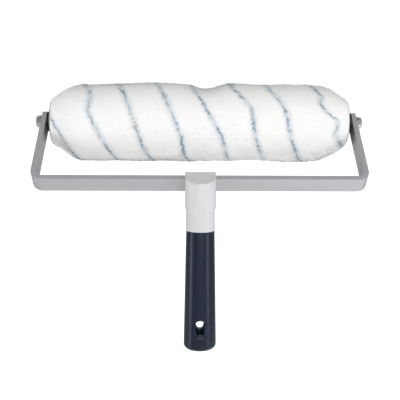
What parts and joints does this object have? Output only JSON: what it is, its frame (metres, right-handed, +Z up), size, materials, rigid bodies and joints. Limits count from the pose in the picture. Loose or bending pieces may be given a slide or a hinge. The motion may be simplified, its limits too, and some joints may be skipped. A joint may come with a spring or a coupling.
{
  "type": "double-arm paint roller",
  "caption": "Paint roller: fleece cover with bevelled ends spinning on an axle between the arms of a bent flat-bar frame, on a short round handle with a hang hole.",
  "frame": {"origin": "centre of the handle's end, at the mouth of the pole socket", "axes": "+Z up the handle, +X along the roller's axle, +Y the way the roller frame leans"},
  "size_m": [0.2998, 0.1151, 0.2286],
  "materials": {
    "bar_paint": "satin silver-grey",
    "head_plastic": "satin light grey moulding",
    "grip_plastic": "satin blue-black moulding",
    "zinc": "bright zinc plate",
    "axle_steel": "drawn bright",
    "nylon": "black nylon",
    "cap_plastic": "moulded dark grey",
    "core_board": "beige phenolic tube",
    "fleece": "white pile with thin dusty-blue spiral stripes"
  },
  "bodies": {
    "frame": {"bar_frame": "bar_paint", "handle_head": "head_plastic", "cover_plate": "head_plastic", "handle_grip": "grip_plastic", "head_screws": "zinc", "axle_rod": "axle_steel", "axle_bolts": "zinc", "spring_washers": "zinc", "thrust_washer_left": "nylon", "thrust_washer_right": "nylon"},
    "roller": {"core_tube": "core_board", "fleece_cover": "fleece", "end_cap_left": "cap_plastic", "end_cap_right": "cap_plastic", "bush_left": "nylon", "bush_right": "nylon"}
  },
  "joints": [
    {"name": "roller_spin", "type": "hinge", "parent": "frame", "child": "roller", "pos_m": [0, 0.06565, 0.19306], "axis": [1, 0, 0], "continuous": true}
  ]
}
